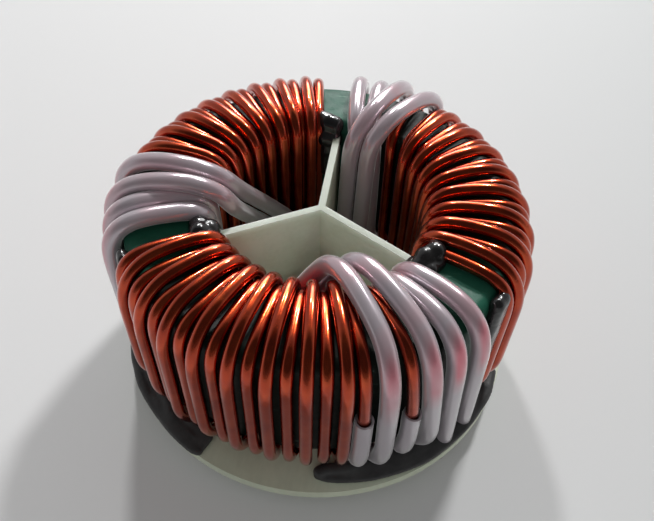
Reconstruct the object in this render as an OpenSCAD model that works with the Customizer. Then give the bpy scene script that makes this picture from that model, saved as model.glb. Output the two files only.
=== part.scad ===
// Three-phase common-mode choke: a coated ring core with three two-layer windings,
// a Y-shaped divider in its hole and a round base plate that the leads pass through.
// Millimetres. +Z is up. The origin is the middle of the base plate's underside, the
// face that seats on a board. One arm of the divider points along +Y.

/* [Core] */
// Outer diameter of the coated ring core
core_od = 65; // [64:0.5:66]
// Inner diameter of the coated ring core
core_id = 41; // [40.5:0.5:42]
// Height of the coated ring core
core_h = 25.4; // [18:0.2:30]
// Radius of the core's rounded edges
core_edge = 2; // [1.5:0.1:2.4]

/* [Base plate] */
// Width of the plate's rim outside the holes of the start leads
base_rim = 0.65; // [0.5:0.05:4]
// Thickness of the base plate
base_t = 2; // [1.2:0.1:4]

/* [Divider] */
// Thickness of each arm of the divider
divider_t = 1.2; // [1:0.1:1.8]
// How far the top of the divider lies below the top of the core
divider_drop = 1.3; // [0:0.1:5]

/* [Wire] */
// Diameter of the enamelled wire
wire_d = 2.1; // [1.6:0.05:2.2]
// Turns that each wire makes in the lower layer; the upper layer has one less
layer_turns = 6; // [4:1:6]
// Room between the wire or its sleeve and the coat of the core
wire_gap = 0.2; // [0.15:0.05:0.3]
// Room between two wires that lie on each other
lay_gap = 0.1; // [0.05:0.05:0.2]
// Diameter of the bare copper, where the enamel is stripped off for soldering
bare_d = 2; // [1.4:0.05:2]
// Length of each lead pin below the plate
pin_l = 4; // [2:0.5:8]
// How far the lower turns stand out from the core, on the outer wall
lower_bulge = 0.35; // [0:0.05:0.5]
// How far the upper turns stand out from the core, on the outer wall
upper_bulge = 1.25; // [0.5:0.05:1.4]
// How far the sleeved leads stand out from the core, on the outer wall
sleeve_bulge = 0.9; // [0:0.05:1.2]

/* [Sleeving] */
// Outer diameter of the sleeving
sleeve_d = 3; // [2.8:0.05:3.1]
// Bore of the sleeving
sleeve_bore = 2.35; // [2.35:0.05:2.5]
// Height at which the start sleeves are cut off, on the outer wall
sleeve_cut_z = 22; // [16:0.5:26]

/* [Glue] */
// Radius of the dab on the inner edge of the core at each gap
dab_r = 3.3; // [2.6:0.1:3.8]
// Thickness of the run of glue down the outer wall in each gap
run_t = 1.3; // [0.8:0.1:1.6]
// Height of the beads on the base plate
bead_h = 2.6; // [1.5:0.1:2.8]
// How far the crescents of the beads are set off from the middle
bead_shift = 16; // [14:0.5:18]

/* [Hidden] */

// The three windings differ a little, as hand-wound ones do. Angles are in degrees,
// counted anticlockwise from the divider arm at each winding's clockwise end.
phase_start = [210, 330, 90];   // direction of that arm
first_turn = [4, 5, 10];        // first turn, on the outer wall
last_turn = [117, 118.5, 115.5];  // foot of the last sleeved turn
sleeve_step = [8.52, 7.6, 7.4]; // from one sleeved turn to the next, at the foot
turn_steps = [1.55, 3.4, 4.4];  // such steps from the last bare lower turn to the next ones
// Lean up the outer wall of the finish leads, of the turns that leave their sleeves there
// and of the start leads.
finish_lean = [[1.5, 5.5], [1.8, 4], [0.5, 2.7]];
cut_lean = [[0.5, 2.2], [0.5, 2.2], [0.3, 1.1]];
start_lean = [[6, 6.5], [3, 3.3], [3, 3.3]];
finish_top = [65, 95, 84];      // where the first finish lead enters the hole
finish_drift = [-47, 2, -67];   // how far the finish leads lean on their way down
finish_sway = [-1.5, 0, 3.5];   // how far they sway to one side on top of the core
finish_lift = [0.9, 2.1, 0.2];  // how far they bulge where they cross the start leads

phase_angle = 120;
wire_sides = 7;
hole_clearance = 0.2;           // between a lead and its hole in the plate
arm_side_gap = 0.35;            // between the divider and the first turn
last_side_gap = 2.1;            // between the divider and the last sleeved turn
sleeve_side_gap = 0.55;         // between two sleeved turns in the hole
finish_gap = 0.45;              // between the two finish leads in the hole
lower_rise = 0.5;               // how far the lower turns arch up from the core's top,
upper_rise = 1.8;               // and the upper ones,
start_rise = 1;                 // and the start leads,
finish_rise = [1.9, 3, 2.4];    // and the finish leads, at the outer edge
cut_bulge = 0.45;               // how far the turns that leave their sleeves stand out
finish_bulge = 1.3;             // how far the finish leads stand out at the top,
finish_foot_bulge = 0.6;        // and at the foot
sleeve_in = [0.3, 0.2];         // and the start leads at the inner edge, inwards and up
start_foot_bulge = 0.2;         // a start lead's foot stands this far out
lead_bend_z = 3;                // straight part of a start lead above the plate
strip_gap = 0.1;                // the bare copper starts this far below the plate
lead_seat = 0.2;                // from the plate to the end of a sleeve
lead_share = 0.55;              // share of its angle that a finish lead makes by half way
cut_stagger = 1;                // the cut ends lie this much above and below their height
bead_middle = [211, 312.5, 90]; // direction of the middle of each bead
bead_half = [40, 35.5, 34];     // half of the angle that it covers
bead_foot_gap = 0.5;            // from the outermost wire surface on the plate to a bead
bead_edge = 0.2;                // from the edge of the base plate to a bead
glue_gap = 0.05;                // between the glue and what it sticks to
run_reach = 60;                 // how far a run reaches over the core's upper edge
dab_left = 0.8;                 // from the middle of a gap to the dab's two sides
dab_right = 1.4;
pin_inset = 0.1;                // the swept wire ends this far inside its pin's surface

wire_r = wire_d/2;
sleeve_r = sleeve_d/2;
core_z = base_t + 3*(wire_d + lay_gap) + wire_gap;
core_top = core_z + core_h;
core_ro = core_od/2;
core_ri = core_id/2;
divider_top = core_top - divider_drop;

// Centres of the core's four edge roundings, as [radius, height].
outer_bottom = [core_ro - core_edge, core_z + core_edge];
outer_top = [core_ro - core_edge, core_top - core_edge];
inner_top = [core_ri + core_edge, core_top - core_edge];
inner_bottom = [core_ri + core_edge, core_z + core_edge];

// Distance from those centres to the middle of a wire or sleeve of radius w.
function wrap_r(w) = core_edge + wire_gap + w;

// ---- where each turn lies -------------------------------------------------
// The lower layer holds turns 0 to last_low. Its last two are sleeved, and the two
// before them enter their sleeves on the outer wall.
last_low = 2*layer_turns - 1;
index_a = last_low - 3;

function arc_deg(length, r) = length/r*180/PI;

function low_outer(p, j) = let(
        turn_a = last_turn[p] - turn_steps[2]*sleeve_step[p]
    ) j <= index_a ? first_turn[p] + (turn_a - first_turn[p])*j/index_a
    : turn_a + sleeve_step[p]*turn_steps[j - index_a - 1];

// In the hole the sleeved turns lie side by side, and the bare ones share the rest.
low_hole_r = core_ri - wire_gap - wire_r;
sleeved_hole_r = core_ri - wire_gap - sleeve_r;
hole_last = phase_angle - asin((divider_t/2 + sleeve_r + last_side_gap)/sleeved_hole_r);
hole_before_last = hole_last - arc_deg(sleeve_d + sleeve_side_gap, sleeved_hole_r);
hole_bare_last = hole_before_last
    - arc_deg(sleeve_r + wire_r + sleeve_side_gap, sleeved_hole_r);
hole_first = asin((divider_t/2 + wire_r + arm_side_gap)/low_hole_r);

function hole_start(p) = max(hole_first, first_turn[p] + 0.5);
function hole_pitch(p) = (hole_bare_last - hole_start(p))/(last_low - 2);
function low_hole(p, j) = j == last_low ? hole_last
    : j == last_low - 1 ? hole_before_last
    : hole_start(p) + hole_pitch(p)*j;

// An upper turn lies over the groove between two lower ones.
function up_outer(p, i) = (low_outer(p, i) + low_outer(p, i + 1))/2;
function up_hole(p, i) = (low_hole(p, i) + low_hole(p, i + 1))/2;
function nest(p) = let(
        half = hole_pitch(p)/2,
        side = low_hole_r*sin(half)
    ) sqrt(max(0, pow(wire_d + lay_gap, 2) - side*side)) + low_hole_r*(1 - cos(half));

// The finish leads lie on the upper layer and run down the hole to the plate.
nest_most = max([for (p = [0:2]) nest(p)]);
finish_wrap = wrap_r(wire_r) + nest_most + wire_r + sleeve_r + lay_gap;
finish_r = inner_top[0] - finish_wrap;
function finish_slope(p) = abs(finish_drift[p])*PI/180*finish_r/core_h;
function finish_step(p) =
    arc_deg((sleeve_d + finish_gap)*sqrt(1 + pow(finish_slope(p), 2)), finish_r);
function finish_hole(p, q) = finish_top[p] + q*finish_step(p);
function finish_foot(p, q) = finish_hole(p, q) + finish_drift[p];

// ---- the path of a wire ---------------------------------------------------
// A bend of n straight pieces round one of the core's edges, from an angle on: its
// pieces touch a quarter ellipse from outside. Stations are [radius, height]. Stiff wire
// stands out from the walls by out = [sideways, up or down]. Where it stands out both
// ways, the bend is wider too, as far as it can without touching the edge at 45 degrees.
function bend(edge, w, out, from, n) = let(
        wide = min(out)/(sqrt(2) - 1)
    ) [for (k = [0:n - 1])
        let(t = from + (k + 0.5)*90/n, u = [cos(t), sin(t)], far = 1/cos(45/n))
        [for (i = [0, 1]) edge[i] - sign(u[i])*wide + (wrap_r(w) + out[i] + wide)*u[i]*far]];

function at_angle(a, stations) = [for (s = stations) [a, s[0], s[1]]];

// How far wire q stands off the underside of the core on its way to turn n. The upper
// layer starts on the second level. There wire a still has to pass wire b, on the third.
function under(q, n) = n < layer_turns ? 0
    : n == 2*layer_turns - 2 ? sleeve_d + lay_gap
    : (wire_d + lay_gap)*(n == layer_turns + 1 && q == 0 ? 2 : 1);

// Share of the way from the outer angle to the hole angle, round the inner edge.
edge_share = [0.35, 0.6, 0.85];

// One turn, from angle a on the outer wall, over the top, to angle b in the hole.
// w is the radius of the wire or sleeve, out how far it stands out from the outer wall
// and the top at the outer edge, in the same from the hole and the top at the inner edge,
// lift the height of its layer there, and down how far it stands off the underside.
function foot(a, w, bulge, down) = at_angle(a, bend(outer_bottom, w, [bulge, down], 270, 2));
function shoulder(a, w, out) = at_angle(a, bend(outer_top, w, out, 0, 3));
function over(a, b, w, out, in, lift, down) = concat(
    shoulder(a, w, out),
    [for (k = [0:2]) let(s = bend(inner_top, w + lift, in, 90, 3)[k])
        [a + (b - a)*edge_share[k], s[0], s[1]]],
    at_angle(b, bend(inner_bottom, w + lift, [in[0], max(0, down - lift)], 180, 2)));

function bare_turn(q, n, a, b, out, lift) = concat(
    foot(a, wire_r, out[0], under(q, n)),
    over(a, b, wire_r, out, [0, 0], lift, under(q, n + 1)));

// The first turn comes straight up from its pin, in its sleeve. The second leaves the
// sleeve on its way up the outer wall.
sleeved_wall_r = core_ro + wire_gap + sleeve_r;
start_lead_r = sleeved_wall_r + start_foot_bulge;
base_r = start_lead_r + wire_r + hole_clearance + base_rim;
function start_turn(p, q) = let(j = last_low - 1 + q, a = low_outer(p, j)) concat(
    [[a, start_lead_r, base_t + lead_bend_z]],
    over(a - start_lean[p][q], low_hole(p, j), sleeve_r,
        [sleeve_bulge, start_rise], sleeve_in, 0, under(q, 1)));
function cut_turn(p, q) = let(j = last_low - 3 + q, a = low_outer(p, j)) concat(
    foot(a, sleeve_r, cut_bulge, under(q, 1)),
    [[a, sleeved_wall_r + cut_bulge, sleeve_cut_z + cut_stagger*(1 - 2*q)]],
    over(a - cut_lean[p][q], low_hole(p, j), wire_r, [cut_bulge, lower_rise],
        [0, 0], 0, under(q, 2)));

// The last turn crosses the upper layer and leans down the hole. Its crest is given
// as angles round the inner edge, and for each winding as shares: of finish_wrap, for the
// distance from there, and of the whole turn to the hole.
crest = [97, 120, 146, 170];
crest_out = [[0.79, 1, 1.06, 1.02], [0.79, 1, 1.06, 1.02], [0.93, 0.93, 0.95, 1]];
crest_share = [[0.15, 0.3, 0.6, 1], [0.1, 0.25, 0.68, 1], [0, 0.1, 0.5, 1]];
lean_pieces = 4;
function finish_turn(p, q) = let(
        n = 2*layer_turns - 2,
        a_hole = up_hole(p, last_low - 5 + q),
        a = up_outer(p, last_low - 3 + q),
        top = a - finish_lean[p][q],
        b = finish_hole(p, q),
        z_top = inner_top[1] + crest_out[p][3]*finish_wrap*sin(crest[3])
    ) concat(
        [[a_hole + lead_share*(a - a_hole), (core_ri + core_ro)/2,
            outer_bottom[1] - wrap_r(sleeve_r) - under(q, n)]],
        foot(a, sleeve_r, finish_foot_bulge, under(q, n)),
        shoulder(top, sleeve_r, [finish_bulge, finish_rise[p]]),
        [for (k = [0:3]) let(t = crest[k], turned = crest_share[p][k],
                out = crest_out[p][k]*finish_wrap + (1 - turned)*finish_lift[p])
            [b + (1 - turned)*(top + finish_sway[p] - b), inner_top[0] + out*cos(t),
                inner_top[1] + out*sin(t)]],
        [for (k = [1:lean_pieces]) [b + finish_drift[p]*k/lean_pieces, finish_r,
            z_top + (core_z + wire_d - z_top)*k/lean_pieces]]);

// The path of wire q of phase p, from above its start pin to above its finish pin.
function wire_path(p, q) = let(
        bare = [for (n = [2:2*layer_turns - 3]) let(j = last_low - 1 + q - 2*n,
                i = 2*(n - layer_turns) + q)
            each n < layer_turns ? bare_turn(q, n, low_outer(p, j), low_hole(p, j),
                [lower_bulge, lower_rise], 0)
            : bare_turn(q, n, up_outer(p, i), up_hole(p, i), [upper_bulge, upper_rise],
                nest(p))],
        stations = concat(start_turn(p, q), cut_turn(p, q), bare, finish_turn(p, q))
    ) [for (s = stations)
        [s[1]*cos(phase_start[p] + s[0]), s[1]*sin(phase_start[p] + s[0]), s[2]]];

function slice(list, from, to) = [for (k = [from:to]) list[k]];

// ---- sweeping a tube along a path -----------------------------------------
function unit(v) = v/norm(v);
function step(path, k) = unit(path[k + 1] - path[k]);
function heading(path, k) = unit(
    step(path, max(k - 1, 0)) + step(path, min(k, len(path) - 2)));
function ring(path, k, r) = let(
        t = heading(path, k),
        round = unit([-path[k][1], path[k][0], 0]),
        u = unit(round - (round*t)*t),
        v = cross(t, u)
    ) [for (i = [0:wire_sides - 1])
        path[k] + r*(cos(360*i/wire_sides)*u + sin(360*i/wire_sides)*v)];

// Triangles between ring k and ring k + 1 of a skin whose points start at base.
function band(base, k) = [for (i = [0:wire_sides - 1])
    let(a = base + k*wire_sides, b = a + wire_sides, j = (i + 1)%wire_sides)
    each [[a + i, b + j, a + j], [a + i, b + i, b + j]]];
function flipped(faces) = [for (f = faces) [f[2], f[1], f[0]]];
function washer(a, b) = [for (i = [0:wire_sides - 1]) let(j = (i + 1)%wire_sides)
    each [[a + i, b + j, b + i], [a + i, a + j, b + j]]];

// A solid wire. Its first and last rings are thinner, to end inside the bare pins.
module swept_wire(path) {
    last = len(path) - 1;
    points = [for (k = [0:last])
        each ring(path, k, k == 0 || k == last ? bare_d/2 - pin_inset : wire_r)];
    start_cap = [for (i = [wire_sides - 1:-1:0]) wire_sides - 1 - i];
    end_cap = [for (i = [wire_sides - 1:-1:0]) last*wire_sides + i];
    sides = [for (k = [0:last - 1]) each band(0, k)];
    polyhedron(points, concat([start_cap], sides, [end_cap]));
}

// A tube with a bore, open at both ends.
module swept_sleeve(path) {
    last = len(path) - 1;
    count = len(path)*wire_sides;
    points = concat([for (k = [0:last]) each ring(path, k, sleeve_r)],
        [for (k = [0:last]) each ring(path, k, sleeve_bore/2)]);
    skin = [for (k = [0:last - 1]) each band(0, k)];
    bore = flipped([for (k = [0:last - 1]) each band(count, k)]);
    polyhedron(points, concat(skin, bore, washer(0, count),
        flipped(washer(last*wire_sides, count + last*wire_sides))));
}

// ---- the pieces -----------------------------------------------------------
module core_body(grow) {
    rotate_extrude($fn = 180) {
        translate([core_ri + core_edge, core_z - grow])
            square([core_ro - core_ri - 2*core_edge, core_h + 2*grow]);
        translate([core_ri - grow, core_z + core_edge])
            square([core_ro - core_ri + 2*grow, core_h - 2*core_edge]);
        for (c = [outer_bottom, outer_top, inner_top, inner_bottom])
            translate(c) circle(r = core_edge + grow, $fn = 48);
    }
}

module divider_arms(grow) {
    for (a = phase_start) rotate(a)
        translate([0, -divider_t/2 - grow, base_t])
            cube([core_ri - wire_gap + grow, divider_t + 2*grow,
                divider_top - base_t + grow]);
}

// Foot of lead q of phase p, at its start or its finish, as [angle, radius].
function start_foot(p, q) =
    [phase_start[p] + low_outer(p, last_low - 1 + q), start_lead_r];
function end_foot(p, q) = [phase_start[p] + finish_foot(p, q), finish_r];

module at_foot(foot) {
    rotate(foot[0]) translate([foot[1], 0, 0]) children();
}

module core() color([0.12, 0.36, 0.27]) core_body(0);

module base_plate() color([0.80, 0.80, 0.66]) difference() {
    cylinder(r = base_r, h = base_t, $fn = 180);
    for (p = [0:2], q = [0:1], foot = [start_foot(p, q), end_foot(p, q)])
        at_foot(foot) translate([0, 0, -1])
            cylinder(r = wire_r + hole_clearance, h = base_t + 2, $fn = 48);
}

module divider() color([0.84, 0.84, 0.74]) divider_arms(0);

// The point of the path's end that lies at height z, straight below it.
function below(point, z) = [point[0], point[1], z];

module winding(p, q) color([0.72, 0.28, 0.12]) {
    path = wire_path(p, q);
    last = len(path) - 1;
    swept_wire(concat([for (z = [-2*strip_gap, 0]) below(path[0], z)], path,
        [for (z = [0, -2*strip_gap]) below(path[last], z)]));
    for (foot = [start_foot(p, q), end_foot(p, q)]) at_foot(foot)
        translate([0, 0, -pin_l]) cylinder(d = bare_d, h = pin_l - strip_gap, $fn = 48);
}

// It ends at the third station of the turn that it is cut off on.
module start_sleeve(p, q) color([0.76, 0.74, 0.80]) {
    path = wire_path(p, q);
    swept_sleeve(concat([below(path[0], base_t + lead_seat)],
        slice(path, 0, len(start_turn(p, q)) + 2)));
}

// It starts under the outer half of the core and ends just above the plate.
module finish_sleeve(p, q) color([0.76, 0.74, 0.80]) {
    path = wire_path(p, q);
    last = len(path) - 1;
    first = last + 1 - len(finish_turn(p, q));
    swept_sleeve(concat([(path[first] + path[first + 1])/2],
        slice(path, first + 1, last), [below(path[last], base_t + lead_seat)]));
}

// A dab over the end of the divider arm and the inner edge of the core, between the
// first turn on one side and the last sleeve on the other. It is cut to fit at the arm
// along +Y and turned to its place.
module glue_dab(p) color([0.09, 0.09, 0.09]) rotate(phase_start[p] - 90) difference() {
    intersection() {
        translate([0, core_ri, core_top - core_edge]) sphere(r = dab_r, $fn = 48);
        translate([-dab_left, 0, base_t]) cube([dab_left + dab_right, core_od, core_top]);
    }
    core_body(glue_gap);
    divider_arms(glue_gap);
}

// A run down the outer wall, from the upper edge of the core to its lower edge, over
// the whole width between the last sleeve and the first turn.
function before(p) = (p + 2)%3;
function run_from(p) = last_turn[before(p)] - phase_angle
    + arc_deg(sleeve_r + wire_gap, core_ro);
function run_to(p) = first_turn[p] - arc_deg(wire_r + wire_gap, core_ro);
run_profile = concat(
    [for (t = [run_reach:-run_reach/4:0]) outer_top + (core_edge + glue_gap)*[cos(t), sin(t)]],
    [[core_ro + glue_gap, outer_bottom[1]], [core_ro + run_t, outer_bottom[1]]],
    [for (t = [0:run_reach/4:run_reach]) outer_top + (core_edge + run_t)*[cos(t), sin(t)]]);
module glue_run(p) color([0.09, 0.09, 0.09]) rotate(phase_start[p] + run_from(p))
    rotate_extrude(angle = run_to(p) - run_from(p), $fn = 180) polygon(run_profile);

// A bead on the base plate, outside the feet of the turns: a ring that a round outline,
// set off to one side, cuts down to a crescent. The start leads pass through it.
bead_in = core_ro + wire_gap + bead_foot_gap;
bead_out = base_r - bead_edge;
bead_profile = [
    [bead_in, 0], [bead_out, 0], [bead_out, bead_h*0.45], [bead_out - 0.5, bead_h*0.85],
    [bead_out - 0.9, bead_h], [bead_out - 1.4, bead_h*0.7], [bead_in, bead_h*0.25]
];
function bead_cut_r(p) = sqrt(bead_in*bead_in + bead_shift*bead_shift
    - 2*bead_in*bead_shift*cos(bead_half[p]));
module glue_bead(p) color([0.09, 0.09, 0.09]) difference() {
    translate([0, 0, base_t]) intersection() {
        rotate_extrude($fn = 180) polygon(bead_profile);
        rotate(bead_middle[p]) translate([bead_shift, 0, -1])
            cylinder(r = bead_cut_r(p), h = bead_h + 2, $fn = 180);
    }
    for (k = [0:2], q = [0:1]) at_foot(start_foot(k, q))
        cylinder(r = sleeve_r + glue_gap, h = base_t + lead_bend_z, $fn = 48);
}

core();
base_plate();
divider();
winding(0, 0);  // winding_1a
winding(0, 1);  // winding_1b
winding(1, 0);  // winding_2a
winding(1, 1);  // winding_2b
winding(2, 0);  // winding_3a
winding(2, 1);  // winding_3b
start_sleeve(0, 0);  // start_sleeve_1a
start_sleeve(0, 1);  // start_sleeve_1b
start_sleeve(1, 0);  // start_sleeve_2a
start_sleeve(1, 1);  // start_sleeve_2b
start_sleeve(2, 0);  // start_sleeve_3a
start_sleeve(2, 1);  // start_sleeve_3b
finish_sleeve(0, 0);  // finish_sleeve_1a
finish_sleeve(0, 1);  // finish_sleeve_1b
finish_sleeve(1, 0);  // finish_sleeve_2a
finish_sleeve(1, 1);  // finish_sleeve_2b
finish_sleeve(2, 0);  // finish_sleeve_3a
finish_sleeve(2, 1);  // finish_sleeve_3b
glue_dab(0);  // glue_dab_1
glue_dab(1);  // glue_dab_2
glue_dab(2);  // glue_dab_3
glue_run(0);  // glue_run_1
glue_run(1);  // glue_run_2
glue_run(2);  // glue_run_3
glue_bead(0);  // glue_bead_1
glue_bead(1);  // glue_bead_2
glue_bead(2);  // glue_bead_3
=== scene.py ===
# %% [markdown]
# # A three-phase choke on a round base plate
# A common-mode choke is a ring core with three windings of thick enamelled wire, kept
# apart by a Y-shaped divider. This notebook dresses the exact solid model of one. The
# solids give every size, and Blender gives the smooth round wire, the sleeving, the wet
# black glue and the finish of each surface. We start by loading the solids, which stay
# where they are.

# %% Load the solids as a fixed frame
import math

import bmesh
import bpy
import numpy as np
from mathutils import Matrix, Vector
from mathutils.noise import noise


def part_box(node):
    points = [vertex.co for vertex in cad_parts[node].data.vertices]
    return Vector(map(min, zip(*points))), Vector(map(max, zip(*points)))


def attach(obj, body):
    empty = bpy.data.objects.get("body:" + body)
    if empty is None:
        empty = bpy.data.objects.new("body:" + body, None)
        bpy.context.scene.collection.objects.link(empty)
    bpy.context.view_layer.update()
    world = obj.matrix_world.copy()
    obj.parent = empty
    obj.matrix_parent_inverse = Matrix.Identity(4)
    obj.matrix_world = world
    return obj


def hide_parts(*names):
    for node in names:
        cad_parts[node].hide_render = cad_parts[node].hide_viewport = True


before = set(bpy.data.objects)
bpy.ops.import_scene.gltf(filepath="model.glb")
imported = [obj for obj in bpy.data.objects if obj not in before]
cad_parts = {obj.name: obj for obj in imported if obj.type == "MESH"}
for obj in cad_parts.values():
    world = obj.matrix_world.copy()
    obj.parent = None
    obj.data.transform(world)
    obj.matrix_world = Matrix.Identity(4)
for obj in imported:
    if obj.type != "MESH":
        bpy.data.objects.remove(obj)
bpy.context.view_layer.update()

# %% [markdown]
# ## The view
# A camera is a matrix: its columns are the directions right, up and backwards, and its
# place. The angles below look down on the choke from the front. The lens follows from
# the picture's width in pixels and its focal length in pixels.

# %% Camera
MM = 0.001
PICTURE = (654, 521)
FOCAL_PIXELS = 700.22
CAMERA_BACK, CAMERA_HEIGHT = 83.11*MM, 115.81*MM
YAW, PITCH, ROLL, AROUND = (math.radians(a) for a in (0.87, 49.28, 2.25, 7.65))

ahead = Vector((math.sin(YAW)*math.cos(PITCH), math.cos(YAW)*math.cos(PITCH),
                -math.sin(PITCH)))
level_right = ahead.cross(Vector((0, 0, 1))).normalized()
level_up = level_right.cross(ahead)
right = math.cos(ROLL)*level_right + math.sin(ROLL)*level_up
up = math.cos(ROLL)*level_up - math.sin(ROLL)*level_right
stand = Matrix((right, up, -ahead)).transposed().to_4x4()
stand.translation = Vector((0, -CAMERA_BACK, CAMERA_HEIGHT))

lens = bpy.data.cameras.new("camera")
lens.sensor_width = 36
lens.lens = FOCAL_PIXELS/PICTURE[0]*lens.sensor_width
lens.clip_start, lens.clip_end = 0.005, 20
camera = bpy.data.objects.new("camera", lens)
camera.matrix_world = Matrix.Rotation(AROUND, 4, "Z") @ stand
bpy.context.scene.collection.objects.link(camera)
bpy.context.scene.camera = camera
print("camera at", [round(c/MM, 1) for c in camera.matrix_world.translation], "mm")

# %% [markdown]
# ## Finishes
# Each material is a few nodes round one Principled shader. A pattern reads Object
# coordinates, which are metres on this model, so a noise of scale 500 has features of
# about 2 mm. Small helpers keep the cells short. The first makes a shader and sets the
# numbers of its sockets, and the second adds a node with its links. The others build on
# these, for the patterns, colours and bumps that most finishes need.

# %% Helpers for materials
def finish(name, **numbers):
    """A new material, with numbers for the sockets of its shader."""
    material = bpy.data.materials.new(name)
    material.use_nodes = True
    shader = material.node_tree.nodes["Principled BSDF"]
    for socket, value in numbers.items():
        shader.inputs[socket.replace("_", " ")].default_value = value
    print("finish:", name)
    return material, material.node_tree, shader


def add(tree, kind, settings=(), **inputs):
    """A node of that kind. An input that is a socket is linked, any other one is set.
    Inputs called _0, _1 and so on are found by their number, the others by their name."""
    node = tree.nodes.new(kind)
    for name, value in dict(settings).items():
        setattr(node, name, value)
    for name, value in inputs.items():
        key = int(name[1:]) if name[1:].isdigit() else name.replace("_", " ")
        socket = node.inputs[key]
        if isinstance(value, bpy.types.NodeSocket):
            tree.links.new(value, socket)
        else:
            socket.default_value = value
    return node


def place_on_piece(tree, stretch=(1, 1, 1)):
    """The object's own coordinates, in metres, stretched."""
    coordinates = add(tree, "ShaderNodeTexCoord")
    return add(tree, "ShaderNodeMapping", Vector=coordinates.outputs["Object"],
               Scale=stretch).outputs["Vector"]


def axes(tree):
    """The X, Y and Z of the object's own coordinates, in metres."""
    return add(tree, "ShaderNodeSeparateXYZ", Vector=place_on_piece(tree)).outputs


def cloudy(tree, scale, detail=3, stretch=(1, 1, 1), rough=0.5):
    """A noise from 0 to 1 over the piece."""
    return add(tree, "ShaderNodeTexNoise", Vector=place_on_piece(tree, stretch),
               Scale=scale, Detail=detail, Roughness=rough).outputs["Fac"]


def between(tree, factor, *stops):
    """Colours by factor: each stop is (position, red, green, blue)."""
    ramp = add(tree, "ShaderNodeValToRGB", Fac=factor)
    while len(ramp.color_ramp.elements) < len(stops):
        ramp.color_ramp.elements.new(0.5)
    for element, stop in zip(ramp.color_ramp.elements, stops):
        element.position = stop[0]
        element.color = (*stop[1:], 1)
    return ramp.outputs["Color"]


def levels(tree, factor, low, high, from_low=0.3, from_high=0.7):
    """A number that goes from low to high as factor goes between its two limits."""
    return add(tree, "ShaderNodeMapRange", Value=factor, From_Min=from_low,
               From_Max=from_high, To_Min=low, To_Max=high).outputs["Result"]


def combine(tree, operation, *numbers):
    """One number worked out from others, each of them a value or a socket."""
    inputs = {f"_{k}": number for k, number in enumerate(numbers)}
    return add(tree, "ShaderNodeMath", {"operation": operation}, **inputs).outputs["Value"]


def vector_node(tree, operation, *vectors):
    """The outputs of a node that works on vectors."""
    inputs = {f"_{k}": vector for k, vector in enumerate(vectors)}
    return add(tree, "ShaderNodeVectorMath", {"operation": operation}, **inputs).outputs


def blended(tree, factor, first, second):
    """The first colour where factor is 0, the second one where it is 1."""
    return add(tree, "ShaderNodeMix", {"data_type": "RGBA"}, _0=factor, _6=first,
               _7=second).outputs[2]


def cover(tree, shader, colour, roughness):
    """Links a colour and a roughness to the shader."""
    tree.links.new(colour, shader.inputs["Base Color"])
    tree.links.new(roughness, shader.inputs["Roughness"])


def relief(tree, shader, height, depth, strength):
    """Bumps of that depth in metres, added to the shader."""
    bump = add(tree, "ShaderNodeBump", Height=height, Distance=depth, Strength=strength)
    tree.links.new(bump.outputs["Normal"], shader.inputs["Normal"])


print("helpers ready")

# %% [markdown]
# ### Enamelled copper
# Magnet wire is bright copper under a clear red-brown enamel. The metal is blurred a
# little by drawing and bending, and the enamel over it is a glossy coat. So the shader
# is a metal with some roughness, under a clear coat with hardly any.

# %% Enamelled copper
BROWN_ENAMEL, RED_ENAMEL = (0.38, 0.036, 0.009), (0.50, 0.056, 0.013)
ORANGE_ENAMEL = (0.60, 0.086, 0.021)
copper, tree, shader = finish(
    "enamelled_copper", Metallic=1.0, Coat_Weight=0.6, Coat_Roughness=0.07, Coat_IOR=1.5)
enamel = between(tree, cloudy(tree, scale=260, detail=2), (0.3, *BROWN_ENAMEL),
                 (0.55, *RED_ENAMEL), (0.75, *ORANGE_ENAMEL))
cover(tree, shader, enamel, levels(tree, cloudy(tree, scale=420), low=0.15, high=0.27))
relief(tree, shader, cloudy(tree, scale=900, detail=2), depth=0.04*MM, strength=0.5)

# %% [markdown]
# ### Tinned pins
# Below the plate the enamel is stripped off and the copper is tinned, which leaves a
# dull grey metal. An image of solder would have to be unwrapped onto each pin. A noise
# between two greys needs no unwrapping, and no two pins come out the same.

# %% Bare tinned copper
DULL_TIN, BRIGHT_TIN = (0.46, 0.44, 0.40), (0.66, 0.63, 0.58)
tinned, tree, shader = finish("tinned_copper", Metallic=1.0)
tin = between(tree, cloudy(tree, scale=700), (0.3, *DULL_TIN), (0.7, *BRIGHT_TIN))
cover(tree, shader, tin, levels(tree, cloudy(tree, scale=1500), low=0.25, high=0.5))

# %% [markdown]
# ### Sleeving
# The sleeving is thin, milky and smooth, with a pearly shine. Where the copper inside
# lies against its wall, the wall is tinted pink. This pink is partly the wall's own tint
# and partly a painted glow of the lit copper showing through. It lies on the outward side
# of the upper bends, and in a few faint patches elsewhere. Below 23 mm there is none.

# %% Sleeving
PEARL, PALE_PINK, DEEP_PINK = (0.54, 0.49, 0.53), (0.60, 0.40, 0.44), (0.72, 0.20, 0.25)
PINK_STARTS, PINK_IS_FULL = 23*MM, 29*MM    # heights
sleeving, tree, shader = finish(
    "sleeving", Metallic=0.4, Sheen_Weight=1.0, Sheen_Roughness=0.3, Coat_Weight=0.8,
    Coat_Roughness=0.1)
level = vector_node(tree, "MULTIPLY", place_on_piece(tree), (1, 1, 0))[0]
outward = vector_node(tree, "NORMALIZE", level)[0]
normal = add(tree, "ShaderNodeNewGeometry").outputs["Normal"]
facing_out = vector_node(tree, "DOT_PRODUCT", outward, normal)["Value"]
belly = levels(tree, facing_out, 0, 1, from_low=0.35, from_high=0.85)
high_up = levels(tree, axes(tree)["Z"], 0, 1, PINK_STARTS, PINK_IS_FULL)
patches = cloudy(tree, scale=75, detail=1, stretch=(1, 1, 0.6))
patchy = levels(tree, patches, low=0.6, high=1, from_low=0.40, from_high=0.55)
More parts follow.
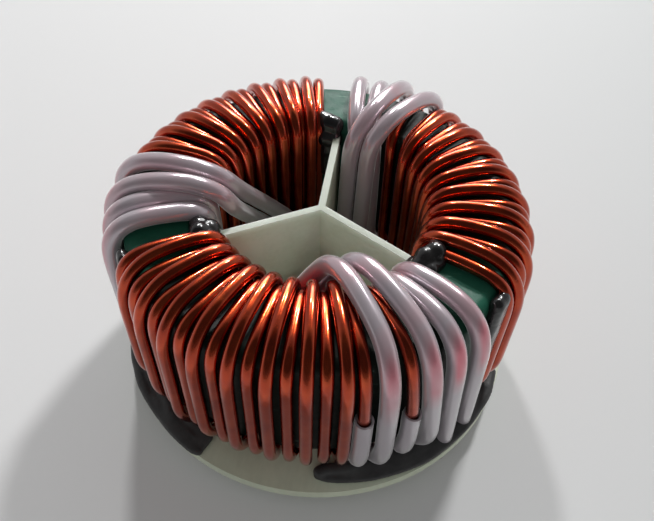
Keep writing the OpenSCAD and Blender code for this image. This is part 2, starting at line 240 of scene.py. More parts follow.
faint = cloudy(tree, scale=130, detail=1, stretch=(1, 1, 0.4))
elsewhere = levels(tree, faint, low=0.05, high=0.5, from_low=0.42, from_high=0.72)
# Pink, partly the copper's real tint against the wall and partly a painted glow of the lit
# copper inside
copper_tint_and_glow = combine(tree, "MAXIMUM", combine(tree, "MULTIPLY", belly, patchy), elsewhere)
copper_tint_and_glow = combine(tree, "MULTIPLY", copper_tint_and_glow, high_up)
tint = between(tree, copper_tint_and_glow, (0.0, *PEARL), (0.5, *PALE_PINK), (1.0, *DEEP_PINK))
cover(tree, shader, tint, levels(tree, cloudy(tree, scale=300), low=0.18, high=0.27))

# %% [markdown]
# ### Coat of the core, boards and glue
# The ring is dipped in green epoxy, which is scratched in places. Where the windings
# cover it, its colour is painted nearly black: painted shade between the turns. The
# shader tells the gaps between the windings by the angle round the core, with one wave
# from each divider arm to the next. The base plate and the divider are cream-coloured
# glass-fibre board. The thin divider lets some light through, so its shader scatters
# light below the surface, and its sawn top edge is darker. The glue is black:
# wet-looking in dabs and runs, and dull where it spreads out on the plate.

# %% Coat of the core
# The first colour is painted shade: the near-black of the coat where the windings cover it
PAINTED_SHADE_UNDER_TURNS, SCRATCHED = (0.010, 0.016, 0.012), (0.20, 0.36, 0.28)
DARK_GREEN, LIGHT_GREEN = (0.010, 0.070, 0.043), (0.018, 0.115, 0.072)
ARMS = 3
coat, tree, shader = finish("core_coat", Specular_IOR_Level=0.2)
place = axes(tree)
angle = combine(tree, "ARCTAN2", place["Y"], place["X"])
near_arm = combine(tree, "SINE", combine(tree, "MULTIPLY", angle, -ARMS))
in_gap = levels(tree, near_arm, 0, 1, from_low=0.72, from_high=0.9)
green = between(tree, cloudy(tree, scale=160, detail=4), (0.3, *DARK_GREEN),
                (0.7, *LIGHT_GREEN))
# Under the windings the coat takes the painted shade colour; only the gaps at the divider
# arms keep the green
base = blended(tree, in_gap, (*PAINTED_SHADE_UNDER_TURNS, 1), green)
scratches = cloudy(tree, scale=90, detail=4, stretch=(1, 9, 9), rough=0.7)
scratched = levels(tree, scratches, low=0, high=0.5, from_low=0.66, from_high=0.72)
cover(tree, shader, blended(tree, scratched, base, (*SCRATCHED, 1)),
      levels(tree, cloudy(tree, scale=500), low=0.36, high=0.52))
relief(tree, shader, cloudy(tree, scale=700), depth=0.1*MM, strength=0.4)

# %% Boards
SAWN_SHADE, SAWN_DEPTH = 0.68, 0.1*MM
NEVER_SAWN = 1.0                        # metres, far above the choke
WEAVE_SHARE = 0.25                      # how much the weave adds to the stains
SMOOTHER, ROUGHER = 0.08, 0.1           # how far the roughness goes either way


def board_finish(name, dark, light, rough, sawn_at=NEVER_SAWN, **numbers):
    """Above the height sawn_at, in metres, the board shows its darker sawn edge."""
    material, tree, shader = finish(name, **numbers)
    weave = cloudy(tree, scale=1400, detail=2, stretch=(1, 0.25, 1))
    stains = cloudy(tree, scale=70, detail=4, rough=0.6)
    mixed = combine(tree, "MULTIPLY_ADD", weave, WEAVE_SHARE, stains)
    face = between(tree, mixed, (0.42, *dark), (0.75, *light))
    sawn = combine(tree, "GREATER_THAN", axes(tree)["Z"], sawn_at)
    base = blended(tree, sawn, face, (*(SAWN_SHADE*c for c in dark), 1))
    cover(tree, shader, base, levels(tree, stains, rough - SMOOTHER, rough + ROUGHER))
    relief(tree, shader, weave, depth=0.03*MM, strength=0.4)
    return material


divider_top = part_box("divider")[1][2]
plate_board = board_finish("base_board", dark=(0.56, 0.61, 0.47),
                           light=(0.68, 0.73, 0.57), rough=0.42)
divider_board = board_finish(
    "divider_board", dark=(0.54, 0.61, 0.48), light=(0.66, 0.73, 0.60), rough=0.40,
    sawn_at=divider_top - SAWN_DEPTH, Subsurface_Weight=0.9,
    Subsurface_Radius=(1.0, 1.1, 1.1), Subsurface_Scale=3*MM)
print("top of the divider:", round(divider_top/MM, 2), "mm")

# %% Glue
GLUE_BUMPS = 0.3*MM
black_glue, tree, shader = finish("black_glue", Coat_Weight=0.3, Coat_Roughness=0.04)
black = between(tree, cloudy(tree, scale=300), (0.3, 0.006, 0.006, 0.007),
                (0.7, 0.016, 0.015, 0.015))
cover(tree, shader, black, levels(tree, cloudy(tree, scale=220), low=0.1, high=0.28))
relief(tree, shader, cloudy(tree, scale=350, detail=2), GLUE_BUMPS, strength=0.35)

dull_glue, tree, shader = finish("dull_glue", Coat_Weight=0.1, Coat_Roughness=0.3)
dull = between(tree, cloudy(tree, scale=300), (0.3, 0.026, 0.026, 0.027),
               (0.7, 0.048, 0.047, 0.047))
cover(tree, shader, dull, levels(tree, cloudy(tree, scale=400), low=0.42, high=0.62))
relief(tree, shader, cloudy(tree, scale=450), GLUE_BUMPS, strength=0.4)

# %% [markdown]
# ## Where each wire lies
# Each of the three windings is wound with two wires. A wire starts at a pin, goes round
# the core in the lower layer, comes back over it in the upper layer and ends at a
# second pin. The solids follow a chain of stations, each an angle round the core, a
# radius and a height in millimetres. The same chain is worked out here from the same
# sizes, so that the smooth wire lies where the solid one does.
#
# In the cells below, p is a winding and q one of its two wires. j counts the turns of
# the lower layer, i those of the upper layer, and n the turns of a single wire.

# %% Sizes of the choke, in millimetres and degrees
CORE_OUTER, CORE_INNER, CORE_HEIGHT, CORE_EDGE = 32.5, 20.5, 25.4, 2.0
PLATE_THICK, DIVIDER_THICK = 2.0, 1.2
WIRE, SLEEVE, SLEEVE_BORE = 1.05, 1.5, 1.175          # radii
TURNS, WIRE_GAP, LAY_GAP = 6, 0.2, 0.1
SLEEVE_CUT, CUT_STAGGER = 22.0, 1       # of two cut ends, one is higher and one lower
# How far each kind of turn stands out from the outer wall and from the top, and the
# start leads from the wall of the hole and from the top there. The finish leads have
# one bulge, and a rise for each winding.
LOWER_OUT, UPPER_OUT, CUT_OUT, START_OUT = (0.35, 0.5), (1.25, 1.8), (0.45, 0.5), (0.9, 1.0)
START_IN, FINISH_BULGE, FINISH_RISE = (0.3, 0.2), 1.3, (1.9, 3, 2.4)
START_FOOT_OUT, FINISH_FOOT_OUT = 0.2, 0.6
# Gaps in the hole: beside the divider, between sleeved turns and between finish leads.
FIRST_GAP, LAST_GAP, SLEEVED_GAP, FINISH_GAP = 0.35, 2.1, 0.55, 0.45
# Above the plate: the straight part of a start lead and the lower end of a sleeve.
LEAD_BEND, SLEEVE_SEAT = 3, 0.2
# Hand-wound windings differ a little. These angles count from the divider arm that each
# winding starts at, whose direction is PHASE_START. The first turn leans by FIRST_LEAN
# at least, from the outer wall to the hole.
PHASE_START = (210, 330, 90)
FIRST_TURN, FIRST_LEAN = (4, 5, 10), 0.5
LAST_TURN = (117, 118.5, 115.5)         # the foot of the last sleeved turn
SLEEVE_STEP = (8.52, 7.6, 7.4)          # from one sleeved turn to the next
TURN_STEPS = (1.55, 3.4, 4.4)           # such steps from the last bare turn to the rest
# How far the leads of each winding's two wires lean on their way up the outer wall.
FINISH_LEAN = ((1.5, 5.5), (1.8, 4), (0.5, 2.7))
CUT_LEAN = ((0.5, 2.2), (0.5, 2.2), (0.3, 1.1))
START_LEAN = ((6, 6.5), (3, 3.3), (3, 3.3))
# Where the first finish lead enters the hole, how far both lean on their way down and
# sway on top, and how far they bulge, in mm, where they cross the start leads.
FINISH_TOP, FINISH_DRIFT = (65, 95, 84), (-47, 2, -67)
FINISH_SWAY, FINISH_LIFT = (-1.5, 0, 3.5), (0.9, 2.1, 0.2)
CORE_Z = PLATE_THICK + 3*(2*WIRE + LAY_GAP) + WIRE_GAP
CORE_TOP = CORE_Z + CORE_HEIGHT
LAST_LOW = 2*TURNS - 1
print("core from", CORE_Z, "to", CORE_TOP, "mm; turns in the lower layer:", LAST_LOW + 1)

# %% Angles of the turns, outside and in the hole
def degrees_of(length, radius):
    """The angle that an arc of that length covers."""
    return math.degrees(length/radius)


def low_outer(p, j):
    """The angle of a lower turn on the outer wall."""
    turn_a = LAST_TURN[p] - TURN_STEPS[2]*SLEEVE_STEP[p]
    index_a = LAST_LOW - 3
    if j <= index_a:
        return FIRST_TURN[p] + (turn_a - FIRST_TURN[p])*j/index_a
    return turn_a + SLEEVE_STEP[p]*TURN_STEPS[j - index_a - 1]


LOW_HOLE_R = CORE_INNER - WIRE_GAP - WIRE
SLEEVED_HOLE_R = CORE_INNER - WIRE_GAP - SLEEVE
PHASE_ANGLE = 120                  # from one divider arm to the next
HOLE_LAST = PHASE_ANGLE - math.degrees(
    math.asin((DIVIDER_THICK/2 + SLEEVE + LAST_GAP)/SLEEVED_HOLE_R))
HOLE_BEFORE = HOLE_LAST - degrees_of(2*SLEEVE + SLEEVED_GAP, SLEEVED_HOLE_R)
HOLE_BARE = HOLE_BEFORE - degrees_of(SLEEVE + WIRE + SLEEVED_GAP, SLEEVED_HOLE_R)
HOLE_FIRST = math.degrees(math.asin((DIVIDER_THICK/2 + WIRE + FIRST_GAP)/LOW_HOLE_R))


def hole_start(p):
    """The angle of the first lower turn in the hole."""
    return max(HOLE_FIRST, FIRST_TURN[p] + FIRST_LEAN)


def hole_pitch(p):
    """From one bare lower turn to the next, in the hole."""
    return (HOLE_BARE - hole_start(p))/(LAST_LOW - 2)


def low_hole(p, j):
    """The angle of a lower turn in the hole."""
    if j >= LAST_LOW - 1:
        return (HOLE_BEFORE, HOLE_LAST)[j - LAST_LOW + 1]
    return hole_start(p) + hole_pitch(p)*j


def up_outer(p, i):
    """An upper turn lies over the groove between two lower ones."""
    return (low_outer(p, i) + low_outer(p, i + 1))/2


def up_hole(p, i):
    """The same in the hole."""
    return (low_hole(p, i) + low_hole(p, i + 1))/2


def nest(p):
    """How far the upper layer lies above the lower one."""
    half = math.radians(hole_pitch(p)/2)
    side = LOW_HOLE_R*math.sin(half)
    return (math.sqrt(max(0, (2*WIRE + LAY_GAP)**2 - side*side))
            + LOW_HOLE_R*(1 - math.cos(half)))


print("pitch in the hole, degrees:", [round(hole_pitch(p), 2) for p in range(3)])

# %% Stations of one turn
OUTER_BOTTOM = (CORE_OUTER - CORE_EDGE, CORE_Z + CORE_EDGE)
OUTER_TOP = (CORE_OUTER - CORE_EDGE, CORE_TOP - CORE_EDGE)
INNER_TOP = (CORE_INNER + CORE_EDGE, CORE_TOP - CORE_EDGE)
INNER_BOTTOM = (CORE_INNER + CORE_EDGE, CORE_Z + CORE_EDGE)
# Shares of the way from the outer angle to the one in the hole, round the inner edge.
EDGE_SHARE = (0.35, 0.6, 0.85)


def wrap(radius):
    """From the middle of an edge rounding to the middle of a wire or sleeve."""
    return CORE_EDGE + WIRE_GAP + radius


def bend(edge, radius, out, start, pieces):
    """Stations outside a quarter ellipse round an edge, so that their sides touch it."""
    wide = min(out)/(math.sqrt(2) - 1)
    far = 1/math.cos(math.radians(45/pieces))
    stations = []
    for k in range(pieces):
        turn = math.radians(start + (k + 0.5)*90/pieces)
        stations.append(tuple(
            middle - math.copysign(wide, way) + (wrap(radius) + far_out + wide)*way*far
            for middle, far_out, way in zip(edge, out, (math.cos(turn), math.sin(turn)))))
    return stations


def at_angle(angle, stations):
    """Stations of (radius, height) with the angle they lack."""
    return [(angle, r, z) for r, z in stations]


def under(q, n):
    """How far wire q stands off the underside of the core on its way to turn n."""
    if n < TURNS:
        return 0
    if n == 2*TURNS - 2:
        return 2*SLEEVE + LAY_GAP
    return (2*WIRE + LAY_GAP)*(2 if n == TURNS + 1 and q == 0 else 1)


def foot(angle, radius, bulge, down):
    """Round the core's lower outer edge."""
    return at_angle(angle, bend(OUTER_BOTTOM, radius, (bulge, down), 270, 2))


def shoulder(angle, radius, out):
    """Round the core's upper outer edge."""
    return at_angle(angle, bend(OUTER_TOP, radius, out, 0, 3))


def over(a, b, radius, out, inward, lift, down):
    """From angle a on the outer wall, over the top, to angle b in the hole."""
    edge = bend(INNER_TOP, radius + lift, inward, 90, 3)
    return (shoulder(a, radius, out)
            + [(a + (b - a)*share, *s) for share, s in zip(EDGE_SHARE, edge)]
            + at_angle(b, bend(INNER_BOTTOM, radius + lift,
                               (inward[0], max(0, down - lift)), 180, 2)))


print("stations over the top:", len(over(0, 0, WIRE, (0, 0), (0, 0), 0, 0)))

# %% Stations of a whole wire
SLEEVED_WALL = CORE_OUTER + WIRE_GAP + SLEEVE
LEAD_RADIUS = SLEEVED_WALL + START_FOOT_OUT
NEST_MOST = max(nest(p) for p in range(3))
FINISH_WRAP = wrap(WIRE) + NEST_MOST + WIRE + SLEEVE + LAY_GAP
FINISH_RADIUS = INNER_TOP[0] - FINISH_WRAP
# The crest of a finish lead: angles round the core's inner edge, and for each winding
# shares of FINISH_WRAP and of the turn towards the hole.
CREST = (97, 120, 146, 170)
CREST_OUT = ((0.79, 1, 1.06, 1.02), (0.79, 1, 1.06, 1.02), (0.93, 0.93, 0.95, 1))
CREST_SHARE = ((0.15, 0.3, 0.6, 1), (0.1, 0.25, 0.68, 1), (0, 0.1, 0.5, 1))
LEAD_SHARE = 0.55       # of its angle, made by a finish lead by half way under the core
LEAN_PIECES = 4


def start_turn(p, q):
    """In its sleeve, straight up from the pin."""
    j = LAST_LOW - 1 + q
    a = low_outer(p, j)
    return [(a, LEAD_RADIUS, PLATE_THICK + LEAD_BEND)] + over(
        a - START_LEAN[p][q], low_hole(p, j), SLEEVE, START_OUT, START_IN, 0, under(q, 1))


def cut_turn(p, q):
    """The second turn leaves the sleeve on its way up the outer wall."""
    j = LAST_LOW - 3 + q
    a = low_outer(p, j)
    return (foot(a, SLEEVE, CUT_OUT[0], under(q, 1))
            + [(a, SLEEVED_WALL + CUT_OUT[0], SLEEVE_CUT + CUT_STAGGER*(1 - 2*q))]
            + over(a - CUT_LEAN[p][q], low_hole(p, j), WIRE, CUT_OUT, (0, 0), 0,
                   under(q, 2)))


def bare_turn(p, q, n):
    """A turn without a sleeve, in the lower or the upper layer."""
    if n < TURNS:
        j = LAST_LOW - 1 + q - 2*n
        a, b, out, lift = low_outer(p, j), low_hole(p, j), LOWER_OUT, 0
    else:
        i = 2*(n - TURNS) + q
        a, b, out, lift = up_outer(p, i), up_hole(p, i), UPPER_OUT, nest(p)
    return (foot(a, WIRE, out[0], under(q, n))
            + over(a, b, WIRE, out, (0, 0), lift, under(q, n + 1)))


def finish_turn(p, q):
    """The last turn crosses the upper layer and leans down the hole."""
    n = 2*TURNS - 2
    a_hole, a = up_hole(p, LAST_LOW - 5 + q), up_outer(p, LAST_LOW - 3 + q)
    top = a - FINISH_LEAN[p][q]
    slope = abs(FINISH_DRIFT[p])*math.pi/180*FINISH_RADIUS/CORE_HEIGHT
    step = degrees_of((2*SLEEVE + FINISH_GAP)*math.sqrt(1 + slope*slope), FINISH_RADIUS)
    b = FINISH_TOP[p] + q*step
    stations = [(a_hole + LEAD_SHARE*(a - a_hole), (CORE_INNER + CORE_OUTER)/2,
                 OUTER_BOTTOM[1] - wrap(SLEEVE) - under(q, n))]
    stations += foot(a, SLEEVE, FINISH_FOOT_OUT, under(q, n))
    stations += shoulder(top, SLEEVE, (FINISH_BULGE, FINISH_RISE[p]))
    for angle, share, turned in zip(CREST, CREST_OUT[p], CREST_SHARE[p]):
        out = share*FINISH_WRAP + (1 - turned)*FINISH_LIFT[p]
        turn = math.radians(angle)
        stations.append((b + (1 - turned)*(top + FINISH_SWAY[p] - b),
                         INNER_TOP[0] + out*math.cos(turn),
                         INNER_TOP[1] + out*math.sin(turn)))
    z_top = INNER_TOP[1] + CREST_OUT[p][3]*FINISH_WRAP*math.sin(math.radians(CREST[3]))
    stations += [(b + FINISH_DRIFT[p]*k/LEAN_PIECES, FINISH_RADIUS,
                  z_top + (CORE_Z + 2*WIRE - z_top)*k/LEAN_PIECES)
                 for k in range(1, LEAN_PIECES + 1)]
    return stations


IN_START_SLEEVE = 3     # stations of the second turn up to the end of its sleeve


def wire_stations(p, q):
    """The stations of wire q of winding p, and how many lie in its two sleeves."""
    start, cut, end = start_turn(p, q), cut_turn(p, q), finish_turn(p, q)
    middle = [s for n in range(2, 2*TURNS - 2) for s in bare_turn(p, q, n)]
    return start + cut + middle + end, len(start) + IN_START_SLEEVE, len(end)


print("stations of one wire:", len(wire_stations(0, 0)[0]))

# %% [markdown]
# ### From stations to a smooth path
# A real wire has no corners. Each corner of the chain is replaced by a short parabola
# that starts and ends on its two sides, so the path still touches the middle of every
# side. Long sides keep their straight middle.

# %% Rounded path
BARE_REACH, SLEEVED_REACH = 3.5, 6.0    # how far a corner is rounded along its sides
CORNER_STEPS = 7
LEAST_STEP = 0.05                       # points closer than this are left out


def in_space(p, stations):
    """The stations as points, in millimetres."""
    turned = [(math.radians(PHASE_START[p] + a), r, z) for a, r, z in stations]
    return np.array([(r*math.cos(t), r*math.sin(t), z) for t, r, z in turned])


def rounded(points, sleeved_start, sleeved_end):
    """A smooth path. The given numbers of points at both ends are in sleeves."""
    path = [points[0]]
    for j, (before, corner, after) in enumerate(zip(points, points[1:], points[2:])):
        sleeved = j < sleeved_start or j >= len(points) - 2 - sleeved_end
        reach = SLEEVED_REACH if sleeved else BARE_REACH
        to_before, to_after = before - corner, after - corner
        one, two = np.linalg.norm(to_before), np.linalg.norm(to_after)
        start = corner + to_before/one*min(one/2, reach)
        end = corner + to_after/two*min(two/2, reach)
        for k in range(CORNER_STEPS + 1):
            t = k/CORNER_STEPS
            point = (1 - t)**2*start + 2*t*(1 - t)*corner + t*t*end
            if np.linalg.norm(point - path[-1]) > LEAST_STEP:
                path.append(point)
    path.append(points[-1])
    return np.array(path)


test_points = in_space(0, wire_stations(0, 0)[0])
test_path = rounded(test_points, 0, 0)
print(len(test_points), "stations become", len(test_path), "points")

# %% [markdown]
# Thick wire is stiff. Where it has room, high on the outer wall and above the core, it
# takes a still wider bend. So the path gets points at even steps, and each point then
# moves a little towards the middle of its neighbours, again and again. Inside the hole
# and below the core there is no room, so the points there hardly move.

# %% Eased path
STEP, EASING_PASSES = 0.8, 24
# The share of its way to the middle that a point moves in one pass: anywhere, how much
# more high on the outer wall, and above the core.
ROOM_ANYWHERE, ROOM_OUTSIDE, ROOM_ABOVE = 0.05, 0.12, 0.5
OUTSIDE_FROM, OUTSIDE_TO = (24, 12), (29, 18)           # radius and height
ABOVE_FROM, ABOVE_TO = CORE_TOP + 2, CORE_TOP + 4       # height


def rising(values, start, end):
    """0 up to start, 1 from end on, and evenly in between."""
    return np.clip((values - start)/(end - start), 0, 1)


def along(path):
    """How far each point lies along the path."""
    return np.concatenate([[0], np.cumsum(np.linalg.norm(np.diff(path, axis=0), axis=1))])


def eased(path):
    """The path at even steps, with its bends as wide as there is room for."""
    length = along(path)
    places = np.linspace(0, length[-1], int(length[-1]/STEP) + 1)
    path = np.stack([np.interp(places, length, axis) for axis in path.T], axis=1)
    for _ in range(EASING_PASSES):
        r, z = np.hypot(path[1:-1, 0], path[1:-1, 1]), path[1:-1, 2]
        outside = (rising(r, OUTSIDE_FROM[0], OUTSIDE_TO[0])
                   *rising(z, OUTSIDE_FROM[1], OUTSIDE_TO[1]))
        room = np.maximum(ROOM_ANYWHERE + ROOM_OUTSIDE*outside,
                          ROOM_ABOVE*rising(z, ABOVE_FROM, ABOVE_TO))
        path[1:-1] += room[:, None]*((path[:-2] + path[2:])/2 - path[1:-1])
    return path


test_path = eased(test_path)
print("one wire:", len(test_path), "points,", round(along(test_path)[-1]), "mm long")

# %% [markdown]
# ## Node trees that sweep a round section along a path
# Geometry Nodes suit a form that follows a path. The input is a chain of edges, which
# becomes a curve, and Curve to Mesh sweeps a circle along it. The sleeve's tree does the
# same without caps, which gives an open tube. Extruding its faces inwards makes the bore
# and the rims at both ends. These are flipped to face the right way, joined to the tube
# and merged with it where they touch.

# %% Helpers for node trees
def shape_tree(title, inputs):
    """A node tree with a geometry in and out, and named inputs (name, kind, value)."""
    tree = bpy.data.node_groups.new(title, "GeometryNodeTree")
    tree.interface.new_socket("Geometry", in_out="INPUT", socket_type="NodeSocketGeometry")
    for name, kind, value in inputs:
        socket = tree.interface.new_socket(name, in_out="INPUT", socket_type=kind)
        if value is not None:
            socket.default_value = value
    tree.interface.new_socket("Geometry", in_out="OUTPUT", socket_type="NodeSocketGeometry")
    return tree, tree.nodes.new("NodeGroupInput").outputs


def close_tree(tree, geometry, material):
    """Ends the tree with Realize Instances and Set Material."""
    real = add(tree, "GeometryNodeRealizeInstances", Geometry=geometry)
    dressed = add(tree, "GeometryNodeSetMaterial", Geometry=real.outputs[0],
                  Material=material)
    out = tree.nodes.new("NodeGroupOutput")
    tree.links.new(dressed.outputs[0], out.inputs[0])


def grow(name, mesh, tree, values):
    """A piece made by running the tree on a mesh. It ends as a plain mesh."""
    piece = bpy.data.objects.new(name, mesh)
    bpy.context.scene.collection.objects.link(piece)
    modifier = piece.modifiers.new("shape", "NODES")
    modifier.node_group = tree
    sockets = {s.name: s.identifier for s in tree.interface.items_tree
               if s.item_type == "SOCKET" and s.in_out == "INPUT"}
    for socket, value in values.items():
        modifier[sockets[socket]] = value
    evaluated = piece.evaluated_get(bpy.context.evaluated_depsgraph_get())
    grown = bpy.data.meshes.new_from_object(evaluated)
    piece.modifiers.remove(modifier)
    piece.data = grown
    grown.name = name
    return piece


def path_mesh(name, path):
    """A chain of edges through points that are given in millimetres."""
    mesh = bpy.data.meshes.new(name)
    mesh.from_pydata([tuple(p*MM) for p in path],
                     [(k, k + 1) for k in range(len(path) - 1)], [])
    return mesh


print("tree helpers ready")

# %% Tree of a solid round wire
WIRE_SIDES, SLEEVE_SIDES = 20, 24
wire_tree, given = shape_tree("round_wire", (
    ("Wire radius", "NodeSocketFloat", WIRE*MM), ("Sides", "NodeSocketInt", WIRE_SIDES),
    ("Material", "NodeSocketMaterial", None)))
curve = add(wire_tree, "GeometryNodeMeshToCurve", Mesh=given["Geometry"])
section = add(wire_tree, "GeometryNodeCurvePrimitiveCircle", Resolution=given["Sides"],
              Radius=given["Wire radius"])
swept = add(wire_tree, "GeometryNodeCurveToMesh", Curve=curve.outputs[0],
            Profile_Curve=section.outputs[0], Fill_Caps=True)
close_tree(wire_tree, swept.outputs[0], given["Material"])
print("nodes in its tree:", len(wire_tree.nodes))

# %% Tree of a sleeve with a bore
SEAM = 0.002*MM         # points of the two skins closer than this become one
sleeve_tree, given = shape_tree("sleeve", (
    ("Outer radius", "NodeSocketFloat", SLEEVE*MM),
    ("Wall", "NodeSocketFloat", (SLEEVE - SLEEVE_BORE)*MM),
    ("Sides", "NodeSocketInt", SLEEVE_SIDES), ("Material", "NodeSocketMaterial", None)))
curve = add(sleeve_tree, "GeometryNodeMeshToCurve", Mesh=given["Geometry"])
section = add(sleeve_tree, "GeometryNodeCurvePrimitiveCircle", Resolution=given["Sides"],
              Radius=given["Outer radius"])
outside = add(sleeve_tree, "GeometryNodeCurveToMesh", Curve=curve.outputs[0],
              Profile_Curve=section.outputs[0])
wall = add(sleeve_tree, "GeometryNodeExtrudeMesh", Mesh=outside.outputs[0],
           Offset_Scale=combine(sleeve_tree, "MULTIPLY", given["Wall"], -1.0),
           Individual=False)
inside = add(sleeve_tree, "GeometryNodeFlipFaces", Mesh=wall.outputs["Mesh"])
both = add(sleeve_tree, "GeometryNodeJoinGeometry")
for part in (outside, inside):
    sleeve_tree.links.new(part.outputs[0], both.inputs[0])
sewn = add(sleeve_tree, "GeometryNodeMergeByDistance", Geometry=both.outputs[0],
           Distance=SEAM)
close_tree(sleeve_tree, sewn.outputs[0], given["Material"])
print("trees:", [t.name for t in bpy.data.node_groups])

# %% [markdown]
# ## Wires and sleeves
# Every wire is one piece from pin to pin, and every sleeve is a piece of its own round
# it. The pins below the plate are bare and tinned, so those faces get a second material.

# %% Helpers to finish a piece
def smooth_except(piece, sharp_degrees=50):
    """Smooth shading with hard edges where faces meet at a steep angle."""
    mesh = piece.data
    mesh.polygons.foreach_set("use_smooth", [True]*len(mesh.polygons))
    shape = bmesh.new()
    shape.from_mesh(mesh)
    bmesh.ops.recalc_face_normals(shape, faces=shape.faces)
    for edge in shape.edges:
        edge.smooth = (len(edge.link_faces) == 2
                       and edge.calc_face_angle(0) < math.radians(sharp_degrees))
    shape.to_mesh(mesh)
    shape.free()


def keep(piece, node):
    """The piece stands for that solid, which is hidden, on the only body."""
    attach(piece, "root")
    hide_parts(node)
    return piece


print("helpers ready")

# %% Make the six wires and the twelve sleeves
PIN_LENGTH, STRIP_GAP = 4.0, 0.1        # below the plate; the enamel ends at the gap
SLEEVE_FOOT = PLATE_THICK + SLEEVE_SEAT
wires, sleeves = [], []
for p in range(3):
    for q in range(2):
        letter = f"{p + 1}{'ab'[q]}"
        stations, start_count, end_count = wire_stations(p, q)
        points = in_space(p, stations)
        pins = [(*points[end][:2], -PIN_LENGTH) for end in (0, -1)]
        whole = eased(rounded(np.vstack([pins[0], points, pins[1]]), start_count,
                              end_count))
        wire = grow(f"wire_{letter}", path_mesh("path", whole), wire_tree,
                    {"Material": copper})
        wire.data.materials.append(tinned)
        for face in wire.data.polygons:
            if face.center.z < -STRIP_GAP*MM:
                face.material_index = 1
        smooth_except(wire)
        wires.append(keep(wire, f"winding_{letter}"))

        first = len(points) - end_count
        cuts = [(*points[0][:2], SLEEVE_FOOT), points[start_count - 1],
                (points[first] + points[first + 1])/2, (*points[-1][:2], SLEEVE_FOOT)]
        nearest = [np.argmin(np.linalg.norm(whole - cut, axis=1)) for cut in cuts]
        for kind, k in (("start", 0), ("finish", 2)):
            path = np.vstack([cuts[k], whole[nearest[k] + 1:nearest[k + 1]], cuts[k + 1]])
            sleeve = grow(f"sleeve_{kind}_{letter}", path_mesh("path", path),
                          sleeve_tree, {"Material": sleeving})
            smooth_except(sleeve)
            sleeves.append(keep(sleeve, f"{kind}_sleeve_{letter}"))
print("wires:", len(wires), "sleeves:", len(sleeves),
      "triangles:", sum(2*len(o.data.polygons) for o in wires + sleeves))

# %% [markdown]
# ## Core, divider and base plate
# These three are plain turned or cut forms, and the solids already have their true
# shape, so they only get their finishes.

# %% Finishes of the solid pieces
SOLID_FINISHES = {"core": coat, "base_plate": plate_board, "divider": divider_board}
for node, material in SOLID_FINISHES.items():
    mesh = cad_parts[node].data
    mesh.materials.clear()
    mesh.materials.append(material)
print("solids that keep their shape:", list(SOLID_FINISHES))

# %% [markdown]
# ## Glue
# The glue is dabbed on by hand, so it has no exact shape. Modelling it point by point
# would be slow, and a sculpted lump is hard to change. So each lump starts as a row of
# overlapping balls, which a voxel remesh joins into one skin, and smoothing then pulls
# it together as surface tension does.

# %% Lump of glue from balls
PULL = 0.6              # share of its way that a smoothing step moves a point


def lump(name, node, balls, voxel=0.22, smooth=6, fineness=3, glue=black_glue):
    """balls: (angle, radius from the axis, height, size, flatness), in mm and degrees."""
    shape = bmesh.new()
    for angle, r, z, size, flat in balls:
        turn = math.radians(angle)
        place = (Matrix.Translation(Vector((r*math.cos(turn), r*math.sin(turn), z))*MM)
                 @ Matrix.Diagonal((size*MM, size*MM, size*flat*MM, 1)))
        bmesh.ops.create_icosphere(shape, subdivisions=fineness, radius=1, matrix=place)
    mesh = bpy.data.meshes.new(name)
    shape.to_mesh(mesh)
    shape.free()
    piece = bpy.data.objects.new(name, mesh)
    bpy.context.scene.collection.objects.link(piece)
    skin = piece.modifiers.new("skin", "REMESH")
    skin.mode, skin.voxel_size = "VOXEL", voxel*MM
    tension = piece.modifiers.new("tension", "SMOOTH")
    tension.factor, tension.iterations = PULL, smooth
    evaluated = piece.evaluated_get(bpy.context.evaluated_depsgraph_get())
    skinned = bpy.data.meshes.new_from_object(evaluated)
    piece.modifiers.clear()
    piece.data = skinned
    skinned.name = name
    skinned.materials.clear()
    skinned.materials.append(glue)
    skinned.polygons.foreach_set("use_smooth", [True]*len(skinned.polygons))
    print(name, "from", len(balls), "balls, faces:", len(skinned.polygons))
    keep(piece, node)


# %% Dabs at the ends of the divider
lump("glue_dab_left", "glue_dab_1", [
    (207, 20.4, 34.4, 1.9, 1), (210, 19.2, 34.2, 2.0, 1), (212, 20.9, 35.2, 1.7, 1),
    (211, 18.8, 32.0, 1.6, 1), (214, 20.0, 34.8, 1.3, 1), (205.5, 19.4, 33.0, 1.3, 1)])
lump("glue_dab_right", "glue_dab_2", [
    (326, 20.6, 34.4, 1.8, 1), (330, 20.6, 35.0, 2.0, 1), (334, 21.3, 35.6, 1.8, 1),
    (337.0, 20.8, 35.6, 1.4, 1), (334.5, 21.8, 35.0, 1.4, 1), (332, 22.2, 34.6, 1.4, 1),
    (330, 22.0, 34.5, 1.5, 1), (328.5, 19.2, 32.6, 1.7, 1), (326.5, 22.3, 35.0, 1.3, 0.8)])
lump("glue_dab_back", "glue_dab_3", [
    (92, 20.2, 34.2, 1.8, 1), (95.5, 20.5, 34.4, 1.9, 1), (98, 21.2, 34.9, 1.4, 1),
    (92.5, 19.3, 31.8, 1.9, 1), (96.5, 19.4, 32.0, 1.8, 1), (94, 19.2, 29.5, 1.9, 1.2),
    (94.6, 19.3, 28.2, 1.75, 1.2), (95, 19.3, 27.0, 1.6, 1.3), (95, 19.3, 25.7, 1.5, 1.3),
    (95, 19.3, 24.5, 1.3, 1.4)], smooth=14)

# %% [markdown]
# The runs and the beads are made of many balls, so loops place them. Perlin noise moves
# and swells each ball a little. It is a fixed pattern in space: neighbours get nearly
# the same value, and every run of the script gives the same lumps.

# %% Runs down the outer wall
RUN_FOOT, RUN_STEP, RUN_FLATNESS = 11, 1.3, 1.3     # the balls are taller than wide
RUN_SWAY, RUN_SWELL = 1.6, 0.3                      # by the noise, in degrees and mm
RUN_APART, BALLS_APART = 3.1, 0.3                   # steps through the noise


